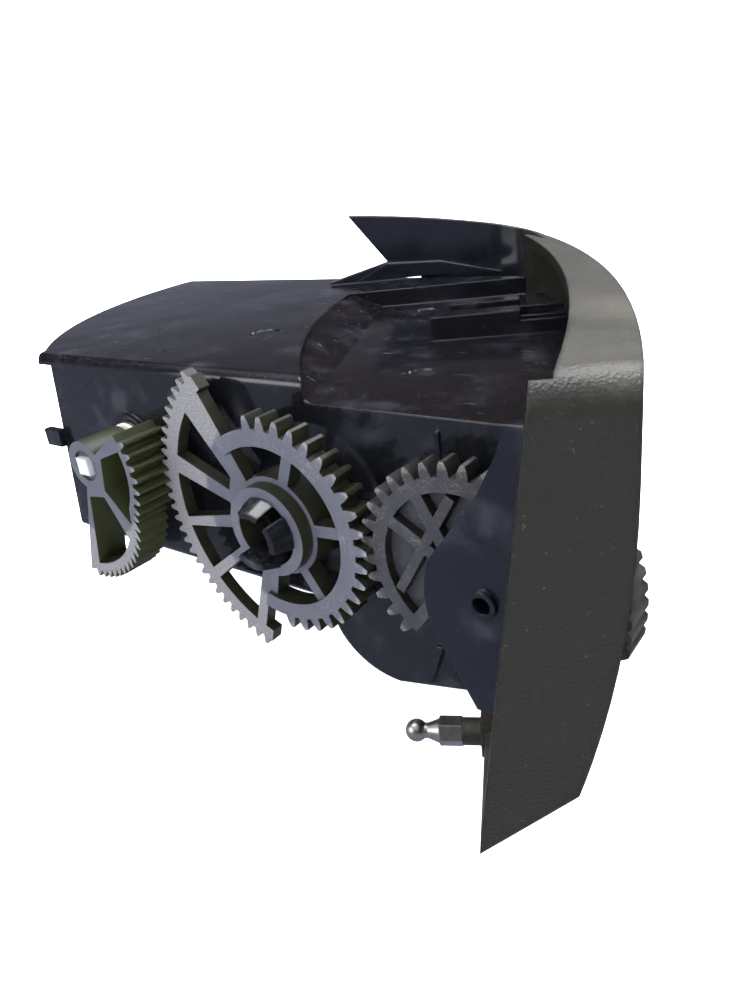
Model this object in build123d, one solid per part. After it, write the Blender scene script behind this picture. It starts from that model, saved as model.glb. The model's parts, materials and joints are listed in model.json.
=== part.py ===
from build123d import *
import math
import os

# Side air outlet with a geared shut-off damper. Millimetres.
# +X runs along the duct from the inlet mouth to the outlet, +Y along the gear shafts away from
# the gear side, +Z up. The origin is the centre of the inlet mouth.
# The outlet looks along its own axis u, turned VENT_TURN about Z; v runs across it and w is up.

# ---- duct housing ----
WALL = 2.0
DUCT_WIDTH = 88.0
DUCT_HEIGHT = 42.0
DUCT_CORNER_R = 2.0
MOUTH_TURN = 26.0
MOUTH_LEAN = 9.3
LIP_NEAR_X = 18.0
LIP_NEAR_Y = -40.4
LIP_FAR_X = -28.1
LIP_FAR_Y = 39.4
LIP_BULGE = 9.0
OUTLET_X = 124.0
VENT_TURN = 27.0
HOUSING_FRONT_U = -8.0
PLATE_TOP = 17.0
PLATE_REAR_U = -43.0
FACET_RUN = 9.2
FACET_RADIUS = 180.0
FACET_CENTRE_V = 27.0
FACET_FAR_V = 50.0
PLATE_LIP_NEAR_V = -44.0
PLATE_LIP_FAR_V = 50.0
PLATE_LIP_THICKNESS = 1.7
PAN_REAR_U = -45.2
PAN_DEPTH = 33.4
PAN_CORNER_R = 12.0
PAN_RISE = 14.5
PAN_RISE_U = -33.0

# ---- clip socket on the top plate ----
SOCKET_LENGTH = 17.0
SOCKET_WIDTH = 15.5
SOCKET_HEIGHT = 4.6
SOCKET_FRONT_U = -9.6
SOCKET_V = 15.8
SOCKET_SLOT_WIDTH = 6.4
RAIL_HEIGHT = 2.6
RAIL_THICKNESS = 1.6
RAIL_END_U = -0.8

# ---- gear train, all shafts parallel to Y ----
COARSE_MODULE = 1.0
FINE_MODULE = 0.75
RING_TEETH = 37
THUMB_TEETH = 32
BACK_TEETH = 80
FLAP_TEETH = 40
PRESSURE_ANGLE = 20.0
BACKLASH = 0.16
TRAIN_X = 93.0
TRAIN_Z = -2.5
FLAP_DIRECTION = 171.85
THUMB_DIRECTION = -1.7
GEAR_STANDOFF = 8.0
RING_FACE = 3.9
RING_RIM = 2.9
BACK_SETBACK = 3.0
BACK_FACE = 2.4
BACK_RIM = 3.2
HUB_R = 8.0
POST_R = 5.9
POST_BORE_R = 4.1
HOOK_LIP = 0.45
HOOK_LENGTH = 3.4
RUN_CLEARANCE = 0.08
HUB_PROUD = 1.7
SPOKE = 2.1
WEB_INNER_R = 13.0
WEB_OUTER_R = 26.3

# ---- flap gear ----
FLAP_GEAR_FACE = 9.0
FLAP_GEAR_PROUD = 4.0
FLAP_RIM = 2.7
FAN_END = -111.0
FAN_START = 29.0
FAN_FLARE_START = -36.0
FAN_FLARE = 12.4
FAN_TAIL_SETBACK = 2.2
SQUARE = 3.4
FLAP_HUB_R = 5.0
SHAFT_R = 3.4
BUSH_R = 5.0

# ---- thumbwheel ----
WHEEL_R = 25.6
WHEEL_FACE = 6.0
WHEEL_PROUD = 1.2
SECTOR_SETBACK = 1.4
WEB_SETBACK = 3.0
GRIP_START = -12.0
GRIP_END = 64.0
WHEEL_RIM = 3.0
GRIP_THICKNESS = 1.5
KNURL_PITCH = 2.2
PIN_R = 2.0
PIN_HEAD_R = 3.4

# ---- side bracket ----
BRACKET_THICKNESS = 1.8
BRACKET_PROUD = 5.5
TUBE_X = 135.6
TUBE_Z = -2.1
TUBE_R = 2.0
TUBE_BORE_R = 1.25
TUBE_LENGTH = 4.4
TUBE_PROUD = 0.7

# ---- damper flap ----
FLAP_ANGLE = 52.0
FLAP_THICKNESS = 2.4
FLAP_SIDE_GAP = 2.0
FLAP_EDGE_GAP = 2.2
FOAM_THICKNESS = 1.6
FOAM_OVERHANG = 1.2

# ---- bezel, in the outlet's own u, v, w ----
BEZEL_WALL = 2.2
BEZEL_NEAR_V = -65.9
BEZEL_FAR_V = 67.7
BEZEL_TOP = 29.5
BEZEL_FRONT_U = 5.1
BEZEL_FRONT_R = 332.0
BEZEL_CROWN_V = -17.0
BEZEL_SWEEP_R = 150.0
BEZEL_SWEEP_W = 18.0
BEZEL_CORNER_R = 15.0
BAND_REAR_U = -2.2
BAND_REAR_R = 370.0
BAND_REAR_V = -5.0
BAND_FAR_V = 65.4
BEZEL_REAR_TOP_U = -9.2
BEZEL_REAR_LOW_U = -18.0
BEZEL_LOW_W = -36.0
BEZEL_FRONT_LOW_W = -23.8
BEZEL_EDGE_R = 4.5
WING_REAR_U = -52.3
WING_TOP = 38.0
WING_CREASE = 0.7

# ---- outlet vanes ----
OPEN_V0 = -34.0
OPEN_V1 = 48.0
OPEN_W0 = -15.0
OPEN_W1 = 13.0
FRAME_WALL = 2.0
FRAME_FRONT_U = -8.0
FRAME_STEP_U = -20.5
FRAME_REAR_U = -40.0
FRAME_REAR_V0 = -25.5
FRONT_VANES = 3
FRONT_PITCH = 8.0
FRONT_AXIS_U = -14.0
FRONT_CHORD = 10.0
VANE_THICKNESS = 2.0
VANE_END_GAP = 2.6
FRONT_CRANK = 3.4
REAR_VANES = 6
REAR_PITCH = 11.0
REAR_FIRST_V = -19.0
REAR_AXIS_U = -32.0
REAR_NOSE = 9.5
REAR_TAIL = 6.0
REAR_THICKNESS = 1.5
REAR_CRANK = 4.5
PIVOT_R = 1.1
LINK_THICKNESS = 1.2
LINK_WIDTH = 3.2
KNOB_VANE = 2
FORK_POST_R = 0.8
KNOB_WIDTH = 13.0
KNOB_HEIGHT = 7.0
FORK_GAP = 0.25

# ---- ball studs ----
BALL_R = 1.85
BALL_NECK_R = 1.25
BALL_FLAT_R = 0.4
BALL_CENTRE = 3.8
STUD_HEX = 4.2
STUD_HEX_LENGTH = 3.75
STUD_TAPER = 1.9
STUD_BOSS_R = 2.2
STUD_V = -43.6
STUD_W = -34.6
STUD_ROOT_U = -21.4
FAR_STUD_V = 60.0
FAR_STUD_W = -37.0

# ---- derived places ----
NEAR_Y = -DUCT_WIDTH / 2
FAR_Y = DUCT_WIDTH / 2
TOP_Z = DUCT_HEIGHT / 2
GEAR_Y = NEAR_Y - GEAR_STANDOFF
RING_R = COARSE_MODULE * RING_TEETH / 2
THUMB_R = COARSE_MODULE * THUMB_TEETH / 2
BACK_R = FINE_MODULE * BACK_TEETH / 2
FLAP_GEAR_R = FINE_MODULE * FLAP_TEETH / 2


def polar(radius, angle):
    """A point at a radius and an angle in degrees."""
    return (radius * math.cos(math.radians(angle)), radius * math.sin(math.radians(angle)))


FLAP_OFF = polar(BACK_R + FLAP_GEAR_R, FLAP_DIRECTION)
THUMB_OFF = polar(RING_R + THUMB_R, THUMB_DIRECTION)
FLAP_X = TRAIN_X + FLAP_OFF[0]
FLAP_Z = TRAIN_Z + FLAP_OFF[1]
THUMB_X = TRAIN_X + THUMB_OFF[0]
THUMB_Z = TRAIN_Z + THUMB_OFF[1]
VENT = Plane(
    origin=(OUTLET_X, 0, 0),
    x_dir=(math.cos(math.radians(VENT_TURN)), math.sin(math.radians(VENT_TURN)), 0),
    z_dir=(0, 0, 1),
)


def span(x0, x1, y0, y1, z0, z1):
    """A block between two values on each axis."""
    size = Box(x1 - x0, y1 - y0, z1 - z0)
    return Pos((x0 + x1) / 2, (y0 + y1) / 2, (z0 + z1) / 2) * size


def side(shape, x, z, front_y, depth):
    """A flat outline in the X-Z plane, extruded away from the gear side."""
    plane = Plane(origin=(x, front_y + depth, z), x_dir=(1, 0, 0), z_dir=(0, -1, 0))
    return extrude(plane * shape, amount=depth)


def rod(radius, x, z, front_y, depth):
    """A round bar parallel to the gear shafts."""
    return side(Circle(radius), x, z, front_y, depth)


def vent(shape):
    """A shape drawn in the outlet's u, v, w, put in its place."""
    return VENT.location * shape


def across(outline, v0, v1):
    """A u-w outline extruded along v."""
    plane = Plane(origin=(0, v1, 0), x_dir=(1, 0, 0), z_dir=(0, -1, 0))
    return extrude(plane * outline, amount=v1 - v0)


def polygon(*points):
    """A closed face through a few points."""
    return make_face(Polyline(*points, close=True))


# ---- gear outlines ----
def tooth_angles(module, teeth, start, end, phase):
    """The centre angles of the teeth that lie between two angles."""
    pitch = 360.0 / teeth
    first = math.ceil((start - phase) / pitch + 0.5)
    last = math.floor((end - phase) / pitch - 0.5)
    return [phase + k * pitch for k in range(first, last + 1)]


def flank(module, teeth, radius):
    """Half a tooth's width, as an angle in degrees, at a radius on its involute."""
    pitch_r = module * teeth / 2
    base_r = pitch_r * math.cos(math.radians(PRESSURE_ANGLE))
    ratio = min(1.0, base_r / max(radius, base_r))
    alpha = math.acos(ratio)
    lead = math.tan(math.radians(PRESSURE_ANGLE)) - math.radians(PRESSURE_ANGLE)
    half = math.pi / (2 * teeth) - BACKLASH / (4 * pitch_r) + lead - (math.tan(alpha) - alpha)
    return math.degrees(half)


def tooth(module, teeth, centre):
    """The points of one involute tooth, root to root."""
    pitch_r = module * teeth / 2
    root_r = pitch_r - 1.25 * module
    base_r = max(root_r, pitch_r * math.cos(math.radians(PRESSURE_ANGLE)))
    tip_r = pitch_r + module
    steps = 3
    radii = [base_r + (tip_r - base_r) * k / steps for k in range(steps + 1)]
    if root_r < base_r - 0.01:
        radii = [root_r] + radii
    rise = [polar(r, centre - flank(module, teeth, r)) for r in radii]
    fall = [polar(r, centre + flank(module, teeth, r)) for r in reversed(radii)]
    return rise + fall


def toothed_ring(module, teeth, start, end, inner_r, phase, tooth_start=None, tooth_end=None):
    """A ring sector with involute teeth on its outside."""
    root_r = module * teeth / 2 - 1.25 * module
    tooth_start = start if tooth_start is None else tooth_start
    tooth_end = end if tooth_end is None else tooth_end
    edges = []
    cursor = polar(root_r, start)
    angle = start
    for centre in tooth_angles(module, teeth, tooth_start, tooth_end, phase):
        points = tooth(module, teeth, centre)
        foot = centre - flank(module, teeth, root_r)
        edges.append(ThreePointArc(cursor, polar(root_r, (angle + foot) / 2), points[0]))
        edges.append(Polyline(*points))
        cursor = points[-1]
        angle = centre + flank(module, teeth, root_r)
    edges.append(ThreePointArc(cursor, polar(root_r, (angle + end) / 2), polar(root_r, end)))
    edges.append(Line(polar(root_r, end), polar(inner_r, end)))
    middle = polar(inner_r, (start + end) / 2)
    edges.append(ThreePointArc(polar(inner_r, end), middle, polar(inner_r, start)))
    edges.append(Line(polar(inner_r, start), polar(root_r, start)))
    return make_face(edges)


def spoke(angle, inner_r, outer_r, width):
    """A straight rib from a hub to a rim."""
    bar = Pos((inner_r + outer_r) / 2, 0) * Rectangle(outer_r - inner_r, width)
    return Rot(0, 0, angle) * bar


# ---- moving parts of the gear train ----
def opening(outer_r, o0, o1, inner_r, i0, i1):
    """An opening between two arcs, each from one angle to another."""
    steps = 6
    outer = [polar(outer_r, o0 + (o1 - o0) * k / steps) for k in range(steps + 1)]
    inner = [polar(inner_r, i1 + (i0 - i1) * k / steps) for k in range(steps + 1)]
    return polygon(*outer, *inner)


def back_sector():
    """Fine sector behind the ring: a toothed rim on a web with four windows and slanted ends."""
    back = toothed_ring(FINE_MODULE, BACK_TEETH, 124, 251, HUB_R - 0.4, FLAP_DIRECTION)
    for o0, o1, i0, i1 in ((139, 161, 152, 164), (169, 189, 175, 186), (193, 213, 197, 211),
                           (218, 242, 218, 234)):
        back -= opening(WEB_OUTER_R, o0, o1, WEB_INNER_R, i0, i1)
    back -= opening(WEB_OUTER_R, 112, 126.3, HUB_R + 1.2, 112, 143)
    back -= opening(WEB_OUTER_R, 247, 263, HUB_R + 1.2, 240, 263)
    return back


def transfer_gear():
    """Compound gear: a coarse ring in front for the thumbwheel, a fine sector behind for the flap."""
    ring_root = RING_R - 1.25 * COARSE_MODULE
    ring = toothed_ring(COARSE_MODULE, RING_TEETH, -108, 125, ring_root - RING_RIM, THUMB_DIRECTION,
                        -97, 101)
    body = side(ring, TRAIN_X, TRAIN_Z, GEAR_Y, RING_FACE)
    body += side(back_sector(), TRAIN_X, TRAIN_Z, GEAR_Y + BACK_SETBACK, BACK_FACE)
    for angle in (-106, -58, 5, 68):
        bar = spoke(angle, HUB_R - 0.5, ring_root - 0.5, SPOKE)
        body += side(bar, TRAIN_X, TRAIN_Z, GEAR_Y + 0.9, RING_FACE - 0.9)
    hub_y = GEAR_Y - HUB_PROUD
    body += rod(HUB_R, TRAIN_X, TRAIN_Z, hub_y, NEAR_Y - 0.8 - hub_y)
    body += rod(HUB_R + 0.9, TRAIN_X, TRAIN_Z, GEAR_Y + 0.9, RING_FACE + 1.2)
    bore = rod(POST_R + RUN_CLEARANCE, TRAIN_X, TRAIN_Z, hub_y - 1, GEAR_STANDOFF + 6)
    return body - bore


def fan_radius(angle):
    """Tip radius of the flap gear's fan: round in mesh, flaring out beyond its working teeth."""
    tip = FLAP_GEAR_R + FINE_MODULE
    if angle > FAN_FLARE_START:
        return tip
    share = (FAN_FLARE_START - angle) / (FAN_FLARE_START - FAN_END)
    return tip + FAN_FLARE * share


def fan_outline():
    """The fan's solid outline: working involute teeth, then shallow teeth along the flare."""
    pitch = 360.0 / FLAP_TEETH
    gap = FLAP_DIRECTION - 180.0
    root_r = FLAP_GEAR_R - 1.25 * FINE_MODULE
    points = []
    angle = FAN_START
    centre = gap + pitch * 4.5
    points.append(polar(root_r, FAN_START + 4))
    centres = [gap + pitch / 2 + pitch * k for k in range(3, -4, -1)]
    for centre in centres:
        points += list(reversed(tooth(FINE_MODULE, FLAP_TEETH, centre)))
    depth = FINE_MODULE * 1.9
    angle = centres[-1] - pitch * 0.75
    while angle > FAN_END + 2.6:
        step = math.degrees(math.pi * FINE_MODULE / fan_radius(angle)) * 0.82
        tip = fan_radius(angle)
        points.append(polar(tip - depth, angle + step * 0.42))
        points.append(polar(tip, angle + step * 0.12))
        points.append(polar(tip, angle - step * 0.12))
        points.append(polar(tip - depth, angle - step * 0.42))
        angle -= step
    points.append(polar(fan_radius(FAN_END) - depth, FAN_END))
    points.append((0, 0))
    return polygon(*points)


def fan_window(start, end, inner_r, rim):
    """One opening in the fan, between two ribs."""
    steps = 10
    points = [polar(inner_r, end), polar(inner_r, start)]
    for k in range(steps + 1):
        angle = start + (end - start) * k / steps
        points.append(polar(fan_radius(angle) - FINE_MODULE * 1.9 - rim, angle))
    return polygon(*points)


def flap_gear():
    """Fan-shaped gear on the flap's shaft."""
    face_y = GEAR_Y - FLAP_GEAR_PROUD
    fan = side(fan_outline(), FLAP_X, FLAP_Z, face_y, FLAP_GEAR_FACE)
    upper = fan_window(20, -47, 6.2, FLAP_RIM - 1.3)
    lower = fan_window(-61, -104, 7.0, FLAP_RIM - 0.6)
    for window in (upper, lower):
        fan -= side(window, FLAP_X, FLAP_Z, face_y - 1, FLAP_GEAR_FACE + 2)
    cut = FLAP_DIRECTION - 180.0 - 2.89 * 360.0 / FLAP_TEETH
    tail = polygon(polar(4, cut), polar(40, cut), polar(60, (cut + FAN_END) / 2), polar(40, FAN_END - 20),
                   polar(4, FAN_END - 20))
    fan -= side(tail, FLAP_X, FLAP_Z, face_y + FLAP_GEAR_FACE - FAN_TAIL_SETBACK, 5)
    fan += rod(FLAP_HUB_R, FLAP_X, FLAP_Z, face_y, FLAP_GEAR_FACE)
    fan -= rod(SQUARE - 0.3, FLAP_X, FLAP_Z, face_y - 1, 1.6)
    side_length = SQUARE + 2 * RUN_CLEARANCE
    hole = Rectangle(side_length, side_length)
    return fan - side(hole, FLAP_X, FLAP_Z, face_y - 1, FLAP_GEAR_FACE + 2)


def flap_shaft():
    """Shaft across the duct with a square end in the flap gear."""
    gear_y = GEAR_Y - FLAP_GEAR_PROUD
    square = side(Rectangle(SQUARE, SQUARE), FLAP_X, FLAP_Z, gear_y - 0.6, FLAP_GEAR_FACE + 1.4)
    start = gear_y + FLAP_GEAR_FACE + 0.4
    round_part = rod(SHAFT_R, FLAP_X, FLAP_Z, start, FAR_Y + 0.5 - start)
    return square + round_part


def blade_direction():
    return Plane(origin=(FLAP_X, 0, FLAP_Z),
                 x_dir=polar_xz(FLAP_ANGLE), z_dir=(0, -1, 0))


def polar_xz(angle):
    x, z = polar(1, angle)
    return (x, 0, z)


def flap_reach():
    """How far the flap's upper and lower halves reach from its shaft."""
    inner = TOP_Z - WALL
    return inner - FLAP_Z - FLAP_EDGE_GAP, inner + FLAP_Z - FLAP_EDGE_GAP


def flap_slab(thickness, extra, side_gap):
    """A plate along the flap's plane, across the duct."""
    up, down = flap_reach()
    outline = Pos((up - down) / 2, 0) * Rectangle(up + down + 2 * extra, thickness)
    width = DUCT_WIDTH - 2 * WALL - 2 * side_gap
    plane = blade_direction()
    plane = Plane(origin=(FLAP_X, width / 2, FLAP_Z), x_dir=plane.x_dir, z_dir=plane.z_dir)
    return extrude(plane * outline, amount=width)


def flap_blade():
    """Flap plate with a sleeve round the shaft."""
    width = DUCT_WIDTH - 2 * WALL - 2 * FLAP_SIDE_GAP
    blade = flap_slab(FLAP_THICKNESS, 0, FLAP_SIDE_GAP)
    blade += rod(SHAFT_R + 1.9, FLAP_X, FLAP_Z, -width / 2, width)
    return blade - rod(SHAFT_R, FLAP_X, FLAP_Z, -width / 2 - 1, width + 2)


def flap_foam():
    """Foam sheet round the flap's edge, which seals against the duct."""
    gap = FLAP_SIDE_GAP - FOAM_OVERHANG
    foam = flap_slab(FOAM_THICKNESS, FOAM_OVERHANG, gap)
    foam -= flap_slab(FLAP_THICKNESS + 1, 0, FLAP_SIDE_GAP)
    return foam - rod(SHAFT_R + 0.4, FLAP_X, FLAP_Z, NEAR_Y, DUCT_WIDTH)


def thumb_ribs():
    """Raised ribs of the thumbwheel between its hub, its gear sector and its grip."""
    ribs = Circle(PIN_R + 2.6)
    for angle in (26, GRIP_END - 4, GRIP_START + 4):
        ribs += spoke(angle, 0, WHEEL_R - GRIP_THICKNESS - 1, SPOKE)
    for angle in (118, 150, 232):
        ribs += spoke(angle, 0, THUMB_R - 2, SPOKE)
    chord = Pos(-5.4, 3.2) * Rot(0, 0, 58.9) * Rectangle(20.0, 1.6)
    return ribs + chord


def thumb_sector(start, end, inner_r):
    """Gear sector of the thumbwheel, from one radius out to its teeth."""
    phase = THUMB_DIRECTION + 180.0 + 180.0 / THUMB_TEETH
    return toothed_ring(COARSE_MODULE, THUMB_TEETH, start, end, inner_r, phase)


def thumbwheel():
    """Wheel with a coarse sector gear, set back, and a carrier for the grip in front."""
    rim_r = WHEEL_R - GRIP_THICKNESS
    inner_r = rim_r - WHEEL_RIM + 1
    middle = (GRIP_START + GRIP_END) / 2
    carrier = make_face([
        ThreePointArc(polar(rim_r, GRIP_START), polar(rim_r, middle), polar(rim_r, GRIP_END)),
        Line(polar(rim_r, GRIP_END), polar(inner_r, GRIP_END)),
        ThreePointArc(polar(inner_r, GRIP_END), polar(inner_r, middle), polar(inner_r, GRIP_START)),
        Line(polar(inner_r, GRIP_START), polar(rim_r, GRIP_START)),
    ])
    face_y = GEAR_Y - WHEEL_PROUD
    back_y = face_y + WHEEL_FACE
    root_r = THUMB_R - 1.25 * COARSE_MODULE
    sector_y = GEAR_Y + SECTOR_SETBACK
    web_y = GEAR_Y + WEB_SETBACK
    wheel = side(carrier, THUMB_X, THUMB_Z, face_y, WHEEL_FACE)
    wheel += side(thumb_ribs(), THUMB_X, THUMB_Z, sector_y, back_y - sector_y)
    wheel += side(thumb_sector(62, 236, root_r - 2.3), THUMB_X, THUMB_Z, sector_y, back_y - sector_y)
    wheel += side(thumb_sector(62, 236, PIN_R + 1.5), THUMB_X, THUMB_Z, web_y, back_y - web_y)
    return wheel - rod(PIN_R + RUN_CLEARANCE, THUMB_X, THUMB_Z, face_y - 1, WHEEL_FACE + 2)


def thumbwheel_grip():
    """Ribbed soft grip round the front of the thumbwheel."""
    inner_r = WHEEL_R - GRIP_THICKNESS
    start, end = GRIP_START + 1, GRIP_END - 1
    middle = (start + end) / 2
    ridges = int(math.radians(end - start) * WHEEL_R / KNURL_PITCH)
    step = (end - start) / ridges
    points = []
    for k in range(ridges):
        a = start + step * k
        points += [polar(WHEEL_R - 0.7, a), polar(WHEEL_R, a + step * 0.3)]
        points.append(polar(WHEEL_R, a + step * 0.7))
    points.append(polar(WHEEL_R - 0.7, end))
    edges = [
        Polyline(*points),
        Line(points[-1], polar(inner_r, end)),
        ThreePointArc(polar(inner_r, end), polar(inner_r, middle), polar(inner_r, start)),
        Line(polar(inner_r, start), points[0]),
    ]
    return side(make_face(edges), THUMB_X, THUMB_Z, GEAR_Y - WHEEL_PROUD, WHEEL_FACE)


def thumbwheel_pin():
    """Headed pin that the thumbwheel turns on, pressed into the duct's near wall."""
    face_y = GEAR_Y + SECTOR_SETBACK - 1.8
    pin = rod(PIN_R, THUMB_X, THUMB_Z, face_y, NEAR_Y + WALL - face_y)
    head_y = GEAR_Y + SECTOR_SETBACK - 1.5
    return pin + rod(PIN_HEAD_R, THUMB_X, THUMB_Z, head_y, 1.2)


# ---- housing ----
def roof_lip():
    """Bulging rear lip of the roof, which overhangs the inlet mouth."""
    near, far = (LIP_NEAR_X, LIP_NEAR_Y), (LIP_FAR_X, LIP_FAR_Y)
    run, rise = far[0] - near[0], far[1] - near[1]
    length = math.hypot(run, rise)
    middle = ((near[0] + far[0]) / 2 - LIP_BULGE * rise / length,
              (near[1] + far[1]) / 2 + LIP_BULGE * run / length)
    reach = DUCT_WIDTH / 2 + 1
    outline = make_face([
        Line((60, -reach), (near[0] + 3, -reach)),
        Line((near[0] + 3, -reach), near),
        ThreePointArc(near, middle, far),
        Line(far, (far[0], reach)),
        Line((far[0], reach), (60, reach)),
        Line((60, reach), (60, -reach)),
    ])
    return extrude(Pos(0, 0, TOP_Z - WALL) * outline, amount=WALL + 5)


def mouth_cut():
    """Everything behind the slanted inlet mouth, below the roof's lip."""
    turn = math.radians(MOUTH_TURN)
    lean = math.radians(MOUTH_LEAN)
    normal = (-math.cos(lean) * math.cos(turn), -math.cos(lean) * math.sin(turn), math.sin(lean))
    plane = Plane(origin=(0, 0, 0), z_dir=normal)
    return extrude(plane * Rectangle(400, 400), amount=250) - roof_lip()


def pan_outline(inset):
    """Side outline of the deeper front body, in u and w."""
    rear, low, top = PAN_REAR_U + inset, inset - PAN_DEPTH, PLATE_TOP - inset
    front = HOUSING_FRONT_U + 2
    rise = (front - PAN_RISE_U) * math.tan(math.radians(PAN_RISE))
    outline = polygon((rear, top), (rear, low), (PAN_RISE_U, low), (front, low + rise), (front, top))
    corner = outline.vertices().sort_by(Axis.Y)[:2].sort_by(Axis.X)[0]
    return fillet(corner, PAN_CORNER_R - inset)


def slab(inset):
    """The space between the duct's two side walls."""
    reach = DUCT_WIDTH / 2 - inset
    return span(-200, 300, -reach, reach, -200, 200)


def front_end():
    """Everything in front of the housing's outlet face."""
    return vent(span(HOUSING_FRONT_U, HOUSING_FRONT_U + 80, -150, 150, -100, 100))


def facet_cut(inset):
    """Scooped ramp between the high rear roof and the low front plate, drawn in by a wall."""
    rear_u = PLATE_REAR_U - FACET_RUN - inset
    high, low = TOP_Z - inset, PLATE_TOP - inset
    ramp = polygon((rear_u, high), (PLATE_REAR_U - inset, low), (40, low), (40, 80), (rear_u, 80))
    radius = FACET_RADIUS + inset
    scoop = Pos(rear_u + radius, FACET_CENTRE_V) * Circle(radius)
    far = FACET_FAR_V + inset
    scoop -= span_rect(rear_u - 5, 400, far, far + 400)
    scoop += span_rect(PLATE_REAR_U - inset, 40, -150, far)
    return vent(across(ramp, -150, 150) & extrude(Pos(0, 0, -60) * scoop, amount=140))


def plate_lip():
    """Front lip of the top plate, which runs on under the bezel's top band."""
    reach = BEZEL_FRONT_R - BEZEL_WALL - 0.4
    front = Pos(BEZEL_FRONT_U - BEZEL_FRONT_R, BEZEL_CROWN_V) * Circle(reach)
    outline = front & span_rect(HOUSING_FRONT_U - 2, 20, PLATE_LIP_NEAR_V, PLATE_LIP_FAR_V)
    return vent(extrude(Pos(0, 0, PLATE_TOP - PLATE_LIP_THICKNESS) * outline, amount=PLATE_LIP_THICKNESS))


def span_rect(u0, u1, v0, v1):
    """A rectangle between two values on each axis."""
    return Pos((u0 + u1) / 2, (v0 + v1) / 2) * Rectangle(u1 - u0, v1 - v0)


def duct_shell():
    """The hollow duct: a low rear duct and a deeper front body."""
    profile = RectangleRounded(DUCT_WIDTH, DUCT_HEIGHT, DUCT_CORNER_R)
    rear = extrude(Plane.YZ.offset(-90) * profile, amount=250)
    rear -= facet_cut(0)
    front = vent(across(pan_outline(0), -110, 110)) & slab(0)
    outer = rear + front
    inner_size = RectangleRounded(DUCT_WIDTH - 2 * WALL, DUCT_HEIGHT - 2 * WALL, DUCT_CORNER_R - 1)
    void = extrude(Plane.YZ.offset(-95) * inner_size, amount=260)
    void -= facet_cut(WALL)
    void += vent(across(pan_outline(WALL), -110, 110)) & slab(WALL)
    return outer - void - front_end() - mouth_cut()


def clip_socket():
    """Clip socket on the top plate, with rails running on to the bezel."""
    rear_u = SOCKET_FRONT_U - SOCKET_LENGTH
    v0 = SOCKET_V - SOCKET_WIDTH / 2
    v1 = SOCKET_V + SOCKET_WIDTH / 2
    top = PLATE_TOP + SOCKET_HEIGHT
    block = span(rear_u, SOCKET_FRONT_U, v0, v1, PLATE_TOP - 0.5, top)
    slot_v = SOCKET_V + 0.6
    block -= span(rear_u + 3, SOCKET_FRONT_U + 1, slot_v - SOCKET_SLOT_WIDTH / 2,
                  slot_v + SOCKET_SLOT_WIDTH / 2, PLATE_TOP + 0.6, top + 1)
    for v in (v0 + RAIL_THICKNESS / 2, SOCKET_V - 2.6, v1 - RAIL_THICKNESS / 2):
        block += span(SOCKET_FRONT_U - 0.5, RAIL_END_U, v - RAIL_THICKNESS / 2,
                      v + RAIL_THICKNESS / 2, PLATE_TOP - 0.5, PLATE_TOP + RAIL_HEIGHT)
    return vent(block)


def snap_post():
    """Hollow post for the transfer gear, with three snap hooks that stand proud of its hub."""
    collar_y = GEAR_Y - HUB_PROUD - 0.15
    tip_y = collar_y - HOOK_LENGTH
    root_y = GEAR_Y + 3.0
    post = rod(POST_R, TRAIN_X, TRAIN_Z, tip_y, root_y - tip_y + 0.2)
    lip = Plane(origin=(TRAIN_X, collar_y, TRAIN_Z), x_dir=(1, 0, 0), z_dir=(0, -1, 0))
    cone = Cone(POST_R + HOOK_LIP, POST_R - 0.7, HOOK_LENGTH)
    post = post & rod(POST_R + 2, TRAIN_X, TRAIN_Z, collar_y, 20)
    post += lip * Pos(0, 0, HOOK_LENGTH / 2) * cone
    hooks = None
    for start, end in ((60, 108), (-15, 39), (-136, -68)):
        hook = side(opening(POST_R + 2, start, end, 2.0, start, end), TRAIN_X, TRAIN_Z, tip_y - 1, 14)
        hooks = hook if hooks is None else hooks + hook
    post = post & hooks
    post += rod(POST_R, TRAIN_X, TRAIN_Z, root_y, NEAR_Y + 1 - root_y)
    return post - rod(POST_BORE_R, TRAIN_X, TRAIN_Z, tip_y - 1, GEAR_STANDOFF + 8)


def wall_details():
    """Bosses and ribs on the near wall and shallow marks on the roof."""
    boss = rod(BUSH_R + 1.6, FLAP_X, FLAP_Z, NEAR_Y - 1.2, 2.2)
    boss += rod(BUSH_R + 1.6, FLAP_X, FLAP_Z, FAR_Y - 1.0, 2.2)
    boss += rod(PIN_R + 2.2, THUMB_X, THUMB_Z, GEAR_Y - WHEEL_PROUD + WHEEL_FACE + 0.5,
                NEAR_Y - (GEAR_Y - WHEEL_PROUD + WHEEL_FACE) + 0.5)
    rib = make_face([
        ThreePointArc(polar(13.2, 20), polar(13.2, 36), polar(13.2, 52)),
        Line(polar(13.2, 52), polar(12.0, 52)),
        ThreePointArc(polar(12.0, 52), polar(12.0, 36), polar(12.0, 20)),
        Line(polar(12.0, 20), polar(13.2, 20)),
    ])
    boss += side(rib, TRAIN_X, TRAIN_Z, NEAR_Y - 1.5, 2)
    seam_x = OUTLET_X - 2.4
    boss += span(seam_x, seam_x + 0.6, NEAR_Y - 0.35, NEAR_Y + 0.5, 2.0, PLATE_TOP - 2)
    boss += span(17.0, 22.6, NEAR_Y - 1.6, NEAR_Y + 0.2, 0.6, 4.4)
    fin = polygon((118.2, -22.4), (119.8, -22.4), (118.2, -27.0), (116.6, -31.0), (115.4, -31.0),
                  (116.9, -26.6))
    boss += side(fin, 0, 0, NEAR_Y - 0.9, 1.2)
    return boss


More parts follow.
